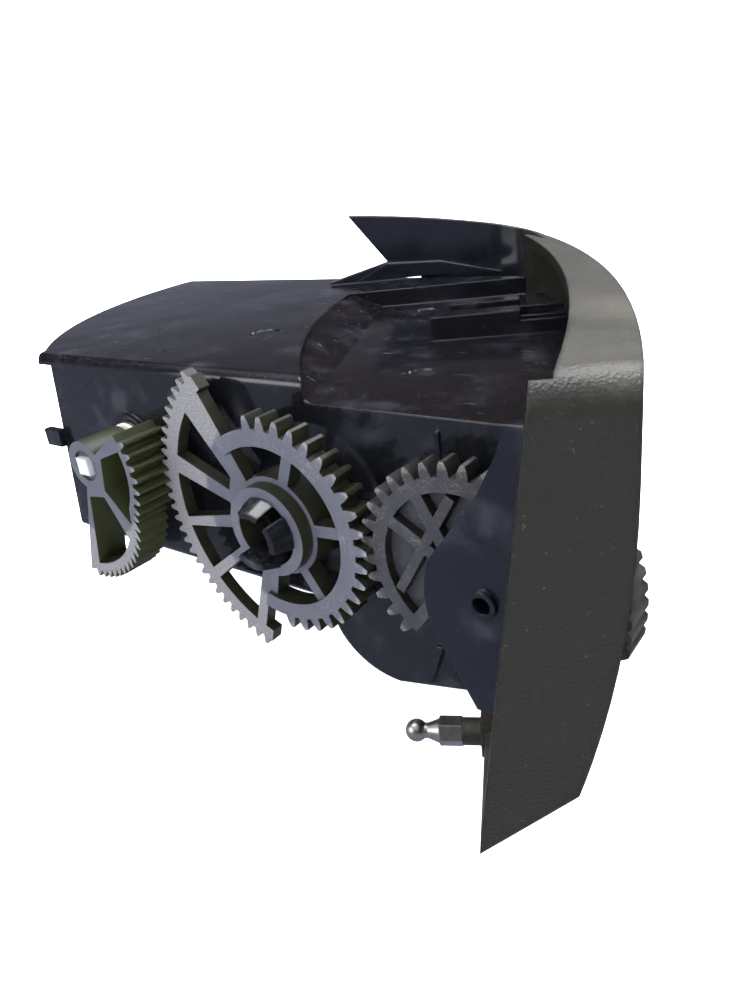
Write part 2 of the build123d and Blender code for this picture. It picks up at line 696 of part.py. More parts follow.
def duct_housing():
    """One moulding: duct, clip socket, snap post, bosses and their bores."""
    body = duct_shell() + plate_lip() + clip_socket() + wall_details() + snap_post()
    for y in (NEAR_Y - 3, FAR_Y - 4):
        body -= rod(BUSH_R, FLAP_X, FLAP_Z, y, 7)
    body -= rod(PIN_R, THUMB_X, THUMB_Z, NEAR_Y - 6, 10)
    for x, y, z, r in ((64.4, -18.2, TOP_Z, 3.1), (106.9, -24.7, PLATE_TOP, 2.6),
                       (59.4, 30.0, PLATE_TOP, 2.6), (78.0, 22.0, PLATE_TOP, 2.6)):
        body -= Pos(x, y, z) * Cylinder(r, 0.5)
    return body


def shaft_bush(near):
    """Flanged bush for the flap shaft in one side wall."""
    y = NEAR_Y - 1.9 if near else FAR_Y - WALL
    length = WALL + 1.9
    bush = rod(BUSH_R, FLAP_X, FLAP_Z, y, length)
    return bush - rod(SHAFT_R + RUN_CLEARANCE, FLAP_X, FLAP_Z, y - 1, length + 2)


def side_bracket():
    """Flat plate over the thumbwheel, with an open tube in it, tucked behind the bezel's cheek."""
    y = GEAR_Y - BRACKET_PROUD
    outline = make_face([
        Line((147.0, 22.5), (139.8, 22.5)),
        Line((139.8, 22.5), (138.5, 18.8)),
        Line((138.5, 18.8), (135.5, 13.0)),
        Line((135.5, 13.0), (128.0, 3.0)),
        ThreePointArc((128.0, 3.0), (126.4, -3.4), (128.6, -11.0)),
        Line((128.6, -11.0), (133.4, -20.0)),
        Line((133.4, -20.0), (147.0, -20.0)),
        Line((147.0, -20.0), (147.0, 22.5)),
    ])
    plate = side(outline, 0, 0, y, BRACKET_THICKNESS)
    tube_y = y - TUBE_PROUD
    tube = rod(TUBE_R, TUBE_X, TUBE_Z, tube_y, TUBE_LENGTH)
    return plate + tube - rod(TUBE_BORE_R, TUBE_X, TUBE_Z, tube_y - 1, TUBE_LENGTH + 2)


# ---- bezel ----
def bezel_plan(inset, rear_u):
    """Plan outline of the bezel: an arched front with a round far corner."""
    disc = Pos(BEZEL_FRONT_U - BEZEL_FRONT_R, BEZEL_CROWN_V) * Circle(BEZEL_FRONT_R - inset)
    plan = disc & span_rect(rear_u, 20, BEZEL_NEAR_V + inset, BEZEL_FAR_V - inset)
    corner = plan.vertices().group_by(Axis.Y)[-1].sort_by(Axis.X)[-1]
    return fillet(corner, BEZEL_CORNER_R - inset)


def bezel_sweep(inset):
    """Space behind the bezel's front, which sweeps back below a height."""
    r = BEZEL_FRONT_R - inset
    bend = BEZEL_SWEEP_R - inset
    centre = r - bend
    arc = [(centre + bend * math.cos(math.radians(a)), BEZEL_SWEEP_W - bend * math.sin(math.radians(a)))
           for a in (0, 13, 26)]
    low = (r - 120, arc[2][1])
    profile = make_face([
        Line((r - 120, 60), (r + 1, 60)),
        Line((r + 1, 60), (r + 1, BEZEL_SWEEP_W)),
        Line((r + 1, BEZEL_SWEEP_W), arc[0]),
        ThreePointArc(*arc),
        Line(arc[2], low),
        Line(low, (r - 120, 60)),
    ])
    turned = revolve(Plane.XZ * profile, Axis.Z, revolution_arc=60)
    return Pos(BEZEL_FRONT_U - BEZEL_FRONT_R, BEZEL_CROWN_V, 0) * Rot(0, 0, -30) * turned


def bezel_block(inset, open_rear):
    """The bezel's envelope, drawn in by a wall thickness."""
    rear = 30 if open_rear else 0
    slope = math.degrees(math.atan2(BEZEL_FRONT_LOW_W - BEZEL_LOW_W, 14.4))
    drop = inset / math.cos(math.radians(slope))
    run = math.tan(math.radians(slope))
    top = BEZEL_TOP - inset
    outline = polygon(
        (BEZEL_REAR_TOP_U - rear, top),
        (8, top),
        (8, BEZEL_FRONT_LOW_W + drop + (8 + 3.6) * run),
        (BEZEL_REAR_LOW_U - rear, BEZEL_LOW_W + drop - rear * run),
    )
    plan = extrude(Pos(0, 0, -60) * bezel_plan(inset, -60), amount=120)
    return across(outline, -100, 100) & plan & bezel_sweep(inset)


def bezel_wing():
    """Far cheek's rearward wing: it follows the plan's round corner and rises to the rear."""
    wall = bezel_plan(0, WING_REAR_U - 10) - bezel_plan(BEZEL_WALL, WING_REAR_U - 20)
    wall = wall & span_rect(-80, 20, 50, 80)
    roof = TOP_Z + 0.35
    profile = make_face([
        ThreePointArc((-3.1, BEZEL_TOP), (-26.3, WING_TOP - 3.5), (WING_REAR_U, WING_TOP)),
        Polyline((WING_REAR_U, WING_TOP), (-43.2, 25.7), (-59.5, roof + 0.4), (-59.5, roof), (-38.0, roof),
                 (-38.0, 14.0), (2.0, 14.0), (2.0, BEZEL_TOP - 1), (-3.1, BEZEL_TOP)),
    ])
    wall = extrude(wall, amount=60) & across(profile, 40, 80)
    crease = polygon((-43.2, 25.4), (-29.4, 24.7), (-13.7, 20.6), (-13.7, 14.5), (-27.0, 14.5),
                     (-27.0, roof), (-52.0, roof))
    v = BEZEL_FAR_V - BEZEL_WALL
    return wall + across(crease, v - WING_CREASE, v + 0.5)


def band_rear():
    """Space behind the curved rear edge of the bezel's top band."""
    disc = Pos(BAND_REAR_U - BAND_REAR_R, BAND_REAR_V) * Circle(BAND_REAR_R)
    gap = disc & span_rect(-60, 10, BEZEL_NEAR_V + BEZEL_WALL, BAND_FAR_V)
    return extrude(Pos(0, 0, BEZEL_TOP - BEZEL_WALL - 1) * gap, amount=10)


def stud_places():
    """Across and up positions of the two ball studs."""
    return ((STUD_V, STUD_W), (FAR_STUD_V, FAR_STUD_W))


def stud_lug(v, w):
    """Lug under the bezel with a round boss for a ball stud."""
    rib = span(STUD_ROOT_U + 3, -12, v - 3.0, v + 3.0, w - 2.6, STUD_W + 3.4)
    boss = Pos(STUD_ROOT_U + 3, v, w) * Rot(0, 90, 0) * Cylinder(STUD_BOSS_R, 6)
    return rib + boss


def bezel():
    """Wrap-round bezel with the outlet opening, wheel slot and stud lugs."""
    shell = bezel_block(0, False)
    edges = shell.edges().filter_by(lambda e: e.center().Z > BEZEL_TOP - 0.01)
    edges = edges.filter_by(lambda e: e.center().Y < BEZEL_NEAR_V + 0.1)
    shell = fillet(edges, BEZEL_EDGE_R)
    shell -= bezel_block(BEZEL_WALL, True)
    shell -= band_rear()
    shell += bezel_wing()
    cut_v0, cut_v1 = OPEN_V0 - FRAME_WALL, OPEN_V1 + FRAME_WALL
    collar = span(FRAME_FRONT_U, 6, cut_v0, cut_v1, OPEN_W0 - FRAME_WALL, OPEN_W1 + FRAME_WALL)
    shell += collar & bezel_block(0.3, False)
    shell -= span(-30, 20, OPEN_V0, OPEN_V1, OPEN_W0, OPEN_W1)
    shell -= span(-30, FRAME_FRONT_U, cut_v0, cut_v1, OPEN_W0 - FRAME_WALL, OPEN_W1 + FRAME_WALL)
    for v, w in stud_places():
        shell += stud_lug(v, w)
    body = vent(shell)
    reach = WHEEL_R + 0.9
    slot_y = GEAR_Y - WHEEL_PROUD - 0.6
    body -= rod(reach, THUMB_X, THUMB_Z, slot_y, WHEEL_FACE + 1.2)
    near_clear = span(-100, 200, NEAR_Y - 0.4, FAR_Y + 0.4, BEZEL_LOW_W - 20, PLATE_TOP + 0.4)
    body -= near_clear & vent(span(-80, HOUSING_FRONT_U + 0.35, -150, 150, -80, 80)) & housing_space()
    wing_clear = vent(span(-80, -25, BEZEL_FAR_V - 10, BEZEL_FAR_V + 5, 10, TOP_Z + 0.35))
    body -= wing_clear & span(-100, 200, NEAR_Y, FAR_Y + 0.4, 0, 80)
    for v, w in stud_places():
        tap = Pos(STUD_ROOT_U + 3, v, w) * Rot(0, 90, 0) * Cylinder(1.2, 8)
        body -= vent(tap)
    return body


def housing_space():
    """The front body's outline with a little room round it."""
    return vent(across(offset(pan_outline(0), amount=0.4), -120, 120))


def ball_stud(v, w):
    """Ball stud: ball, neck, taper, hexagon and a threaded tail in its boss."""
    neck_end = BALL_CENTRE - math.sqrt(BALL_R ** 2 - BALL_NECK_R ** 2)
    collar_r = STUD_HEX / 2 - 0.1
    tip = BALL_CENTRE + math.sqrt(BALL_R ** 2 - BALL_FLAT_R ** 2)
    profile = make_face([
        Polyline((tip, BALL_FLAT_R), (tip, 0), (0, 0), (0, collar_r), (STUD_TAPER, BALL_NECK_R),
                 (neck_end, BALL_NECK_R)),
        ThreePointArc((neck_end, BALL_NECK_R), (BALL_CENTRE, BALL_R), (tip, BALL_FLAT_R)),
    ])
    stud = Rot(0, 0, 180) * revolve(profile, Axis.X)
    hexagon = RegularPolygon(STUD_HEX / 2, 6, major_radius=False)
    stud += extrude(Plane.YZ * hexagon, amount=STUD_HEX_LENGTH)
    tail = Pos(STUD_HEX_LENGTH + 3.0, 0, 0) * Rot(0, 90, 0) * Cylinder(1.2, 6)
    return vent(Pos(STUD_ROOT_U - STUD_HEX_LENGTH, v, w) * (stud + tail))


# ---- outlet frame and vanes ----
def vane_frame():
    """Frame that carries both sets of vanes."""
    v0, v1 = OPEN_V0 - FRAME_WALL, OPEN_V1 + FRAME_WALL
    w0, w1 = OPEN_W0 - FRAME_WALL, OPEN_W1 + FRAME_WALL
    frame = span(FRAME_STEP_U, FRAME_FRONT_U, v0, v1, w0, w1)
    frame += span(FRAME_REAR_U, FRAME_STEP_U, FRAME_REAR_V0 - FRAME_WALL, v1, w0, w1)
    frame -= span(FRAME_REAR_U - 1, FRAME_FRONT_U + 1, OPEN_V0, OPEN_V1, OPEN_W0, OPEN_W1)
    frame -= span(FRAME_REAR_U - 1, FRAME_STEP_U, FRAME_REAR_V0 - 5, FRAME_REAR_V0, OPEN_W0, OPEN_W1)
    for k in range(FRONT_VANES):
        w = front_w(k)
        hole = Pos(FRONT_AXIS_U, (v0 + v1) / 2, w) * Rot(90, 0, 0)
        frame -= hole * Cylinder(PIVOT_R + RUN_CLEARANCE, v1 - v0 + 2)
    for k in range(REAR_VANES):
        hole = Pos(REAR_AXIS_U, REAR_FIRST_V + REAR_PITCH * k, (w0 + w1) / 2)
        frame -= hole * Cylinder(PIVOT_R + RUN_CLEARANCE, w1 - w0 + 2)
    return vent(frame & vent_inverse_slab())


def vent_inverse_slab():
    """The room between the duct's side walls, seen from the outlet's frame."""
    return VENT.location.inverse() * slab(WALL + 0.05)


def front_w(k):
    """Height of a front vane."""
    return (OPEN_W0 + OPEN_W1) / 2 + FRONT_PITCH * (k - (FRONT_VANES - 1) / 2)


def blade_section(nose, tail, thickness):
    """Slim blade outline with a round nose and tail, along its own x."""
    r = thickness / 2
    body = Pos((nose + tail) / 2, 0) * Rectangle(nose - tail - 2 * r, thickness)
    return body + Pos(nose - r, 0) * Circle(r) + Pos(tail + r, 0) * Circle(r)


def front_vane(k):
    """Horizontal vane with pivots at both ends and a crank pin for its link."""
    w = front_w(k)
    v0, v1 = OPEN_V0 + VANE_END_GAP, OPEN_V1 - VANE_END_GAP - LINK_THICKNESS
    half = FRONT_CHORD / 2
    vane = Pos(FRONT_AXIS_U, 0, w) * across(blade_section(half, -half, VANE_THICKNESS), v0, v1)
    ends = OPEN_V0 - FRAME_WALL, OPEN_V1 + FRAME_WALL
    for a, b in ((ends[0] + 0.2, v0 + 0.5), (v1 - 0.5, ends[1] - 0.2)):
        vane += Pos(FRONT_AXIS_U, (a + b) / 2, w) * Rot(90, 0, 0) * Cylinder(PIVOT_R, b - a)
    crank = Pos(FRONT_AXIS_U - FRONT_CRANK, v1 + 1.1, w) * Rot(90, 0, 0) * Cylinder(0.7, 3.2)
    return vent(vane + crank)


def front_link():
    """Bar that ties the front vanes together."""
    v = OPEN_V1 - VANE_END_GAP - LINK_THICKNESS + 0.4
    u = FRONT_AXIS_U - FRONT_CRANK
    outline = span(u - LINK_WIDTH / 2, u + 1.4, v, v + LINK_THICKNESS, front_w(0) - 1.6,
                   front_w(FRONT_VANES - 1) + 1.6)
    for k in range(FRONT_VANES):
        hole = Pos(u, v, front_w(k)) * Rot(90, 0, 0) * Cylinder(0.7 + RUN_CLEARANCE, 6)
        outline -= hole
    return vent(outline)


def rear_v(k):
    """Place of a rear vane across the outlet."""
    return REAR_FIRST_V + REAR_PITCH * k


def rear_vane(k):
    """Upright vane with pivots, a crank pin on top and, at the knob, a post for its fork."""
    w0, w1 = OPEN_W0 + 0.8, OPEN_W1 - 2.2
    blade = extrude(Pos(0, 0, w0) * blade_section(REAR_NOSE, -REAR_TAIL, REAR_THICKNESS),
                    amount=w1 - w0)
    if k == KNOB_VANE:
        blade -= span(REAR_NOSE - 5.2, REAR_NOSE + 1, -3, 3, -8.2, 6.2)
        post = Pos(REAR_NOSE - FORK_POST_R, 0, (w0 + w1) / 2) * Cylinder(FORK_POST_R, w1 - w0)
        blade += post
    low, high = OPEN_W0 - FRAME_WALL + 0.2, OPEN_W1 + FRAME_WALL - 0.2
    blade += Pos(0, 0, (low + w0 + 0.5) / 2) * Cylinder(PIVOT_R, w0 + 0.5 - low)
    blade += Pos(0, 0, (high + w1 - 0.5) / 2) * Cylinder(PIVOT_R, high - w1 + 0.5)
    blade += Pos(-REAR_CRANK, 0, w1 + 0.8) * Cylinder(0.7, 2.0)
    return vent(Pos(REAR_AXIS_U, rear_v(k), 0) * blade)


def rear_link():
    """Bar that ties the rear vanes together, just under the frame's roof."""
    w = OPEN_W1 - 2.2 + 0.4
    u = REAR_AXIS_U - REAR_CRANK
    bar = span(u - 1.6, u + 1.6, rear_v(0) - 1.7, rear_v(REAR_VANES - 1) + 1.7, w, w + LINK_THICKNESS)
    for k in range(REAR_VANES):
        bar -= Pos(u, rear_v(k), w) * Cylinder(0.7 + RUN_CLEARANCE, 6)
    return vent(bar)


def slider_knob():
    """Finger knob that slides along the middle front vane."""
    w = front_w(1)
    v = rear_v(KNOB_VANE)
    half = FRONT_CHORD / 2
    front, rear = FRONT_AXIS_U + half + 2.4, FRONT_AXIS_U - half - 1.2
    profile = Pos((front + rear) / 2, 0) * RectangleRounded(front - rear, KNOB_HEIGHT, 2.0)
    slot = blade_section(half + 0.08, -half - 0.08, VANE_THICKNESS + 0.16)
    knob = across(Pos(0, w) * (profile - Pos(FRONT_AXIS_U, 0) * slot), v - KNOB_WIDTH / 2,
                  v + KNOB_WIDTH / 2)
    for k in range(-2, 3):
        knob -= span(front - 0.6, front + 1, v + k * 2.2 - 0.45, v + k * 2.2 + 0.45, w - 5, w + 5)
    return vent(knob)


def knob_fork():
    """Two-pronged fork behind the knob that straddles the post of a rear vane."""
    w = front_w(1)
    v = rear_v(KNOB_VANE)
    root = FRONT_AXIS_U - FRONT_CHORD / 2 - 1.2
    tip = REAR_AXIS_U + REAR_NOSE - 2 * FORK_POST_R - 0.9
    gap = FORK_POST_R + FORK_GAP
    fork = span(root - 0.8, root, v - gap - 1.1, v + gap + 1.1, w - 1.5, w + 1.5)
    for sign in (-1, 1):
        near, far = sorted((v + sign * gap, v + sign * (gap + 1.1)))
        fork += span(tip, root - 0.5, near, far, w - 1.5, w + 1.5)
    return vent(fork)


def write(shape, node):
    """Write one node's solids."""
    export_step(shape, os.path.join("parts", node + ".step"))


def main():
    os.makedirs("parts", exist_ok=True)
    write(duct_housing(), "duct_housing")
    write(shaft_bush(True), "shaft_bush_near")
    write(shaft_bush(False), "shaft_bush_far")
    write(side_bracket(), "side_bracket")
    write(bezel(), "bezel")
    write(ball_stud(STUD_V, STUD_W), "ball_stud_near")
    write(ball_stud(FAR_STUD_V, FAR_STUD_W), "ball_stud_far")
    write(vane_frame(), "vane_frame")
    write(thumbwheel_pin(), "thumbwheel_pin")
    write(thumbwheel(), "thumbwheel")
    write(thumbwheel_grip(), "thumbwheel_grip")
    write(transfer_gear(), "transfer_gear")
    write(flap_gear(), "flap_gear")
    write(flap_shaft(), "flap_shaft")
    write(flap_blade(), "flap_blade")
    write(flap_foam(), "flap_foam")
    for k in range(FRONT_VANES):
        write(front_vane(k), "front_vane_%d" % (k + 1))
    write(front_link(), "front_vane_link")
    for k in range(REAR_VANES):
        write(rear_vane(k), "rear_vane_%d" % (k + 1))
    write(rear_link(), "rear_vane_link")
    write(slider_knob(), "slider_knob")
    write(knob_fork(), "knob_fork")


if __name__ == "__main__":
    main()
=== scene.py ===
import json
import math

import bmesh
import bpy
from bpy.props import FloatProperty, FloatVectorProperty, PointerProperty, StringProperty
from mathutils import Matrix, Vector


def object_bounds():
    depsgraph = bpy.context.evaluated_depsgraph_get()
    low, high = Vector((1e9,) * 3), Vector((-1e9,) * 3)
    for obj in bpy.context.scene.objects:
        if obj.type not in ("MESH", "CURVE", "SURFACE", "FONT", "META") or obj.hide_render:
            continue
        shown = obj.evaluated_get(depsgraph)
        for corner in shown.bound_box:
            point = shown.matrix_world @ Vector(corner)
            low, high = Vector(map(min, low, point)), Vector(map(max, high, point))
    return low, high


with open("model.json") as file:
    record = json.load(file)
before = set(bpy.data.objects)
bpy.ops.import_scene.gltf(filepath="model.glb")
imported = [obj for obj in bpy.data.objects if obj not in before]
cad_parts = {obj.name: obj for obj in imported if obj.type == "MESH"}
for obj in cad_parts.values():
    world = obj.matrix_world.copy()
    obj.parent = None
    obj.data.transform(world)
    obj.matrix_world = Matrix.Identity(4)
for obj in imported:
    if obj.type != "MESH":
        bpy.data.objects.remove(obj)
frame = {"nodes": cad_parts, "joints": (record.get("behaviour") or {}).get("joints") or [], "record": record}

bl_info = {
    "name": "Side Air Outlet",
    "version": (1, 0, 0),
    "blender": (4, 5, 0),
    "location": "View3D > Sidebar > Air Outlet",
    "description": "Finishes a geared side air outlet on its packed frame and sets a studio round it",
    "category": "Object",
}

MM = 0.001
CAD_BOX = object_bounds()
CAD_LOW = Vector(CAD_BOX[0])
CAD_HIGH = Vector(CAD_BOX[1])

# Places taken from the frame: the shaft of each gear, and the outlet's own directions.
JOINTS = {joint["name"]: joint for joint in frame["joints"]}
TRAIN_AXIS = Vector(JOINTS["transfer_turn"]["pos_m"])
FLAP_AXIS = Vector(JOINTS["flap_turn"]["pos_m"])
WHEEL_AXIS = Vector(JOINTS["thumbwheel_turn"]["pos_m"])
VENT_ACROSS = Vector(JOINTS["front_vane_2_tilt"]["axis"]).normalized()
VENT_OUT = Vector((VENT_ACROSS.y, -VENT_ACROSS.x, 0.0))

MOVING = {
    node: body for body, nodes in frame["record"]["behaviour"]["bodies"].items() for node in nodes
}


# ---------------------------------------------------------------- colours and nodes
def linear(code):
    """Turns an sRGB hex colour into the linear RGBA that a shader socket takes."""
    channels = [int(code[i : i + 2], 16) / 255 for i in (1, 3, 5)]
    return tuple(c / 12.92 if c <= 0.04045 else ((c + 0.055) / 1.055) ** 2.4 for c in channels) + (1.0,)


def add(tree, kind, inputs=None, **settings):
    """Adds one node, with its settings, and each input set to a value or linked from a socket."""
    made = tree.nodes.new(kind)
    for name, value in settings.items():
        setattr(made, name, value)
    for name, value in (inputs or {}).items():
        socket = made.inputs[name]
        if isinstance(value, bpy.types.NodeSocket):
            tree.links.new(value, socket)
        else:
            socket.default_value = value
    return made


def per_metre(size_mm):
    """A texture's scale for a pattern whose features are this many millimetres apart."""
    return 1.0 / (size_mm * MM)


def new_material(name):
    """An empty node material and its tree."""
    material = bpy.data.materials.new(name)
    material.use_nodes = True
    material.node_tree.nodes.clear()
    return material, material.node_tree


def finish_surface(tree, shader):
    """Links a shader to the material's output."""
    add(tree, "ShaderNodeOutputMaterial", {"Surface": shader.outputs["BSDF"]})


def mask(tree, value, low, high):
    """A soft step from 0 to 1 as a value goes from low to high."""
    made = add(
        tree,
        "ShaderNodeMapRange",
        {"Value": value, "From Min": low, "From Max": high},
        interpolation_type="SMOOTHSTEP",
    )
    return made.outputs["Result"]


def product(tree, first, second):
    """The product of two values."""
    return add(tree, "ShaderNodeMath", {0: first, 1: second}, operation="MULTIPLY").outputs[0]


def tint(tree, factor, first, second):
    """One colour laid over another by a factor."""
    made = add(tree, "ShaderNodeMix", {0: factor, 6: first, 7: second}, data_type="RGBA")
    return made.outputs[2]


def noise(tree, place, size_mm, detail=2.0, roughness=0.5):
    """Cloudy noise whose lumps are about this many millimetres across."""
    made = add(
        tree,
        "ShaderNodeTexNoise",
        {"Vector": place, "Scale": per_metre(size_mm), "Detail": detail, "Roughness": roughness},
    )
    return made.outputs["Fac"]


def object_place(tree):
    """Object coordinates, which are the frame's own metres."""
    return add(tree, "ShaderNodeTexCoord").outputs["Object"]


def facing(tree, direction):
    """How squarely the surface faces a fixed direction, from -1 to 1."""
    normal = add(tree, "ShaderNodeNewGeometry").outputs["Normal"]
    made = add(tree, "ShaderNodeVectorMath", {0: normal, 1: direction}, operation="DOT_PRODUCT")
    return made.outputs["Value"]


def radius_from(tree, place, axis):
    """Distance from a gear's shaft, in metres."""
    shifted = add(tree, "ShaderNodeVectorMath", {0: place, 1: axis}, operation="SUBTRACT")
    flat = add(
        tree,
        "ShaderNodeVectorMath",
        {0: shifted.outputs["Vector"], 1: (1.0, 0.0, 1.0)},
        operation="MULTIPLY",
    )
    made = add(tree, "ShaderNodeVectorMath", {0: flat.outputs["Vector"]}, operation="LENGTH")
    return made.outputs["Value"]


def bump(tree, height, depth_mm, strength=1.0, edge_mm=0.25):
    """A bump normal from a height that is this many millimetres deep, over moulded round edges."""
    edge = add(tree, "ShaderNodeBevel", {"Radius": edge_mm * MM}, samples=3)
    made = add(
        tree,
        "ShaderNodeBump",
        {"Height": height, "Distance": depth_mm * MM, "Strength": strength, "Normal": edge.outputs["Normal"]},
    )
    return made.outputs["Normal"]


# ---------------------------------------------------------------- materials
def moulded_gloss_abs(name, base, dust, dust_amount):
    """ABS moulded against a polished tool: near black, glossy, with handling scuffs and thin dust."""
    material, tree = new_material(name)
    place = object_place(tree)
    cloud = noise(tree, place, 9.0, 4.0, 0.6)
    speck = mask(tree, noise(tree, place, 0.5, 3.0, 0.7), 0.62, 0.72)
    upward = mask(tree, facing(tree, (0.0, 0.0, 1.0)), 0.3, 1.0)
    upward_lightening = product(tree, product(tree, upward, speck), dust_amount)
    film = product(tree, mask(tree, cloud, 0.5, 0.8), 0.12)
    colour = tint(tree, film, linear(base), linear(dust))
    colour = tint(tree, upward_lightening, colour, linear(dust))
    stretched = add(
        tree, "ShaderNodeMapping", {"Vector": place, "Scale": (0.12, 1.0, 1.0), "Rotation": (0, 0, 0.5)}
    ).outputs["Vector"]
    scratch = mask(tree, noise(tree, stretched, 0.9, 2.0, 0.4), 0.70, 0.76)
    rough = add(
        tree,
        "ShaderNodeMapRange",
        {"Value": cloud, "From Min": 0.3, "From Max": 0.7, "To Min": 0.08, "To Max": 0.17},
    ).outputs["Result"]
    rough = add(tree, "ShaderNodeMath", {0: rough, 1: product(tree, scratch, 0.2)}, operation="ADD")
    shader = add(
        tree,
        "ShaderNodeBsdfPrincipled",
        {
            "Base Color": colour,
            "Roughness": rough.outputs[0],
            "IOR": 1.54,
            "Normal": bump(tree, noise(tree, place, 22.0, 1.0, 0.4), 0.35, 0.5, 0.5),
        },
    )
    finish_surface(tree, shader)
    return material


def grained_abs(name, base, dust):
    """ABS moulded against an etched tool: fine leather grain that scatters light, with grey dust specks, and
    lighter and greyer in cloudy patches on upward faces.
    """
    material, tree = new_material(name)
    place = object_place(tree)
    cells = add(
        tree, "ShaderNodeTexVoronoi", {"Vector": place, "Scale": per_metre(0.42)}, feature="F1"
    ).outputs["Distance"]
    cloud = noise(tree, place, 12.0, 4.0, 0.6)
    # Upward faces are made lighter and greyer in cloudy patches.
    upward = mask(tree, facing(tree, (0.0, 0.0, 1.0)), 0.2, 0.9)
    upward_lightening = product(tree, upward, mask(tree, cloud, 0.3, 0.8))
    colour = tint(tree, product(tree, upward_lightening, 0.16), linear(base), linear(dust))
    grit = mask(tree, noise(tree, place, 0.7, 3.0, 0.7), 0.66, 0.74)
    colour = tint(tree, product(tree, grit, 0.35), colour, linear(dust))
    inward = mask(tree, facing(tree, tuple(-VENT_ACROSS)), 0.5, 0.9)
    across = add(tree, "ShaderNodeVectorMath", {0: place, 1: VENT_ACROSS}, operation="DOT_PRODUCT")
    plain = product(tree, inward, mask(tree, across.outputs["Value"], 0.0, 0.004))
    colour = tint(tree, plain, colour, linear("#0c0e15"))
    rough = add(
        tree,
        "ShaderNodeMapRange",
        {"Value": plain, "From Min": 0.0, "From Max": 1.0, "To Min": 0.42, "To Max": 0.1},
    ).outputs["Result"]
    grain = product(tree, cells, add(tree, "ShaderNodeMath", {0: 1.0, 1: plain}, operation="SUBTRACT").outputs[0])
    shader = add(
        tree,
        "ShaderNodeBsdfPrincipled",
        {
            "Base Color": colour,
            "Roughness": rough,
            "IOR": 1.54,
            "Normal": bump(tree, grain, 0.08, 0.8, 0.6),
        },
    )
    finish_surface(tree, shader)
    return material


def acetal_with_dust_and_painted_light(name, axis, tip_mm, body, dust, shaded_flank_colour, worn_mm=0.6):
    """Black acetal gear: satin, with dust specks on its faces; faces toward -Y carry a painted highlight in a lit
    blue-grey, and the flanks a painted olive shade.
    """
    material, tree = new_material(name)
    place = object_place(tree)
    front = mask(tree, facing(tree, (0.0, -1.0, 0.0)), 0.2, 0.8)
    reach = radius_from(tree, place, axis)
    worn = mask(tree, reach, (tip_mm - worn_mm * 2.2) * MM, (tip_mm - worn_mm * 0.4) * MM)
    fine = noise(tree, place, 0.35, 3.0, 0.8)
    speck = mask(tree, fine, 0.52, 0.70)
    cloud = mask(tree, noise(tree, place, 5.0, 4.0, 0.6), 0.35, 0.7)
    dusty = product(tree, front, product(tree, speck, cloud))
    # Painted light: faces toward -Y get the lit blue-grey face colour (body) as a painted highlight, all other
    # faces get the dark olive flank colour as painted shade.
    colour = tint(tree, front, linear(shaded_flank_colour), linear(body))
    colour = tint(tree, product(tree, dusty, 0.22), colour, linear(dust))
    tips = product(tree, product(tree, worn, front), mask(tree, fine, 0.35, 0.6))
    colour = tint(tree, product(tree, tips, 0.2), colour, linear(dust))
    shader = add(
        tree,
        "ShaderNodeBsdfPrincipled",
        {
            "Base Color": colour,
            "Roughness": 0.42,
            "IOR": 1.48,
            "Normal": bump(tree, fine, 0.05, 0.5),
        },
    )
    finish_surface(tree, shader)
    return material


def plain_plastic(name, base, rough, ior=1.5):
    """Plain moulded plastic with a faint mottle."""
    material, tree = new_material(name)
    place = object_place(tree)
    cloud = mask(tree, noise(tree, place, 4.0, 3.0, 0.6), 0.3, 0.8)
    colour = tint(tree, product(tree, cloud, 0.12), linear(base), linear("#8a8680"))
    shader = add(
        tree,
        "ShaderNodeBsdfPrincipled",
        {
            "Base Color": colour,
            "Roughness": rough,
            "IOR": ior,
            "Normal": bump(tree, noise(tree, place, 1.2), 0.03, 0.5),
        },
    )
    finish_surface(tree, shader)
    return material


def zinc_plate(name, base, stain):
    """Steel turned on a lathe and zinc plated: dull silver, with fine turning and white bloom."""
    material, tree = new_material(name)
    place = object_place(tree)
    cloud = mask(tree, noise(tree, place, 1.5, 3.0, 0.6), 0.4, 0.75)
    colour = tint(tree, product(tree, cloud, 0.5), linear(base), linear(stain))
    shader = add(
        tree,
        "ShaderNodeBsdfPrincipled",
        {
            "Base Color": colour,
            "Metallic": 1.0,
            "Roughness": 0.34,
            "Normal": bump(tree, noise(tree, place, 0.5, 2.0), 0.03, 0.6),
        },
    )
    finish_surface(tree, shader)
    return material


def open_cell_foam(name, base):
    """Polyurethane foam, cut from sheet: charcoal, dull and pitted with small cells."""
    material, tree = new_material(name)
    place = object_place(tree)
    cells = add(
        tree, "ShaderNodeTexVoronoi", {"Vector": place, "Scale": per_metre(0.8)}, feature="F1"
    ).outputs["Distance"]
    shader = add(
        tree,
        "ShaderNodeBsdfPrincipled",
        {
            "Base Color": tint(tree, cells, linear("#0b0b0c"), linear(base)),
            "Roughness": 0.95,
            "Normal": bump(tree, cells, 0.4, 1.0),
        },
    )
    finish_surface(tree, shader)
    return material


# ---------------------------------------------------------------- putting finishes on
def paint(nodes, material):
    """Puts a material in the slots of CAD nodes."""
    for name in nodes:
        mesh = frame["nodes"][name].data
        mesh.materials.clear()
        mesh.materials.append(material)


# ---------------------------------------------------------------- operators
class OutletFinish(bpy.types.PropertyGroup):
    """Colours of the outlet's finishes."""

    housing_colour: StringProperty(
        name="Housing", description="Colour of the gloss duct, as sRGB hex", default="#0b0c10"
    )
    bezel_colour: StringProperty(
        name="Bezel", description="Colour of the grained bezel, as sRGB hex", default="#171710"
    )
    # Painted highlight: this blue-grey is the lit look of the gears' front faces, not the black acetal's own
    # colour.
    gear_lit_face_colour: StringProperty(
        name="Gears", description="Colour of the gears' faces, as sRGB hex", default="#3b3d48"
    )
    dust_colour: StringProperty(
        name="Dust", description="Colour of settled dust, as sRGB hex", default="#b4b1ac"
    )


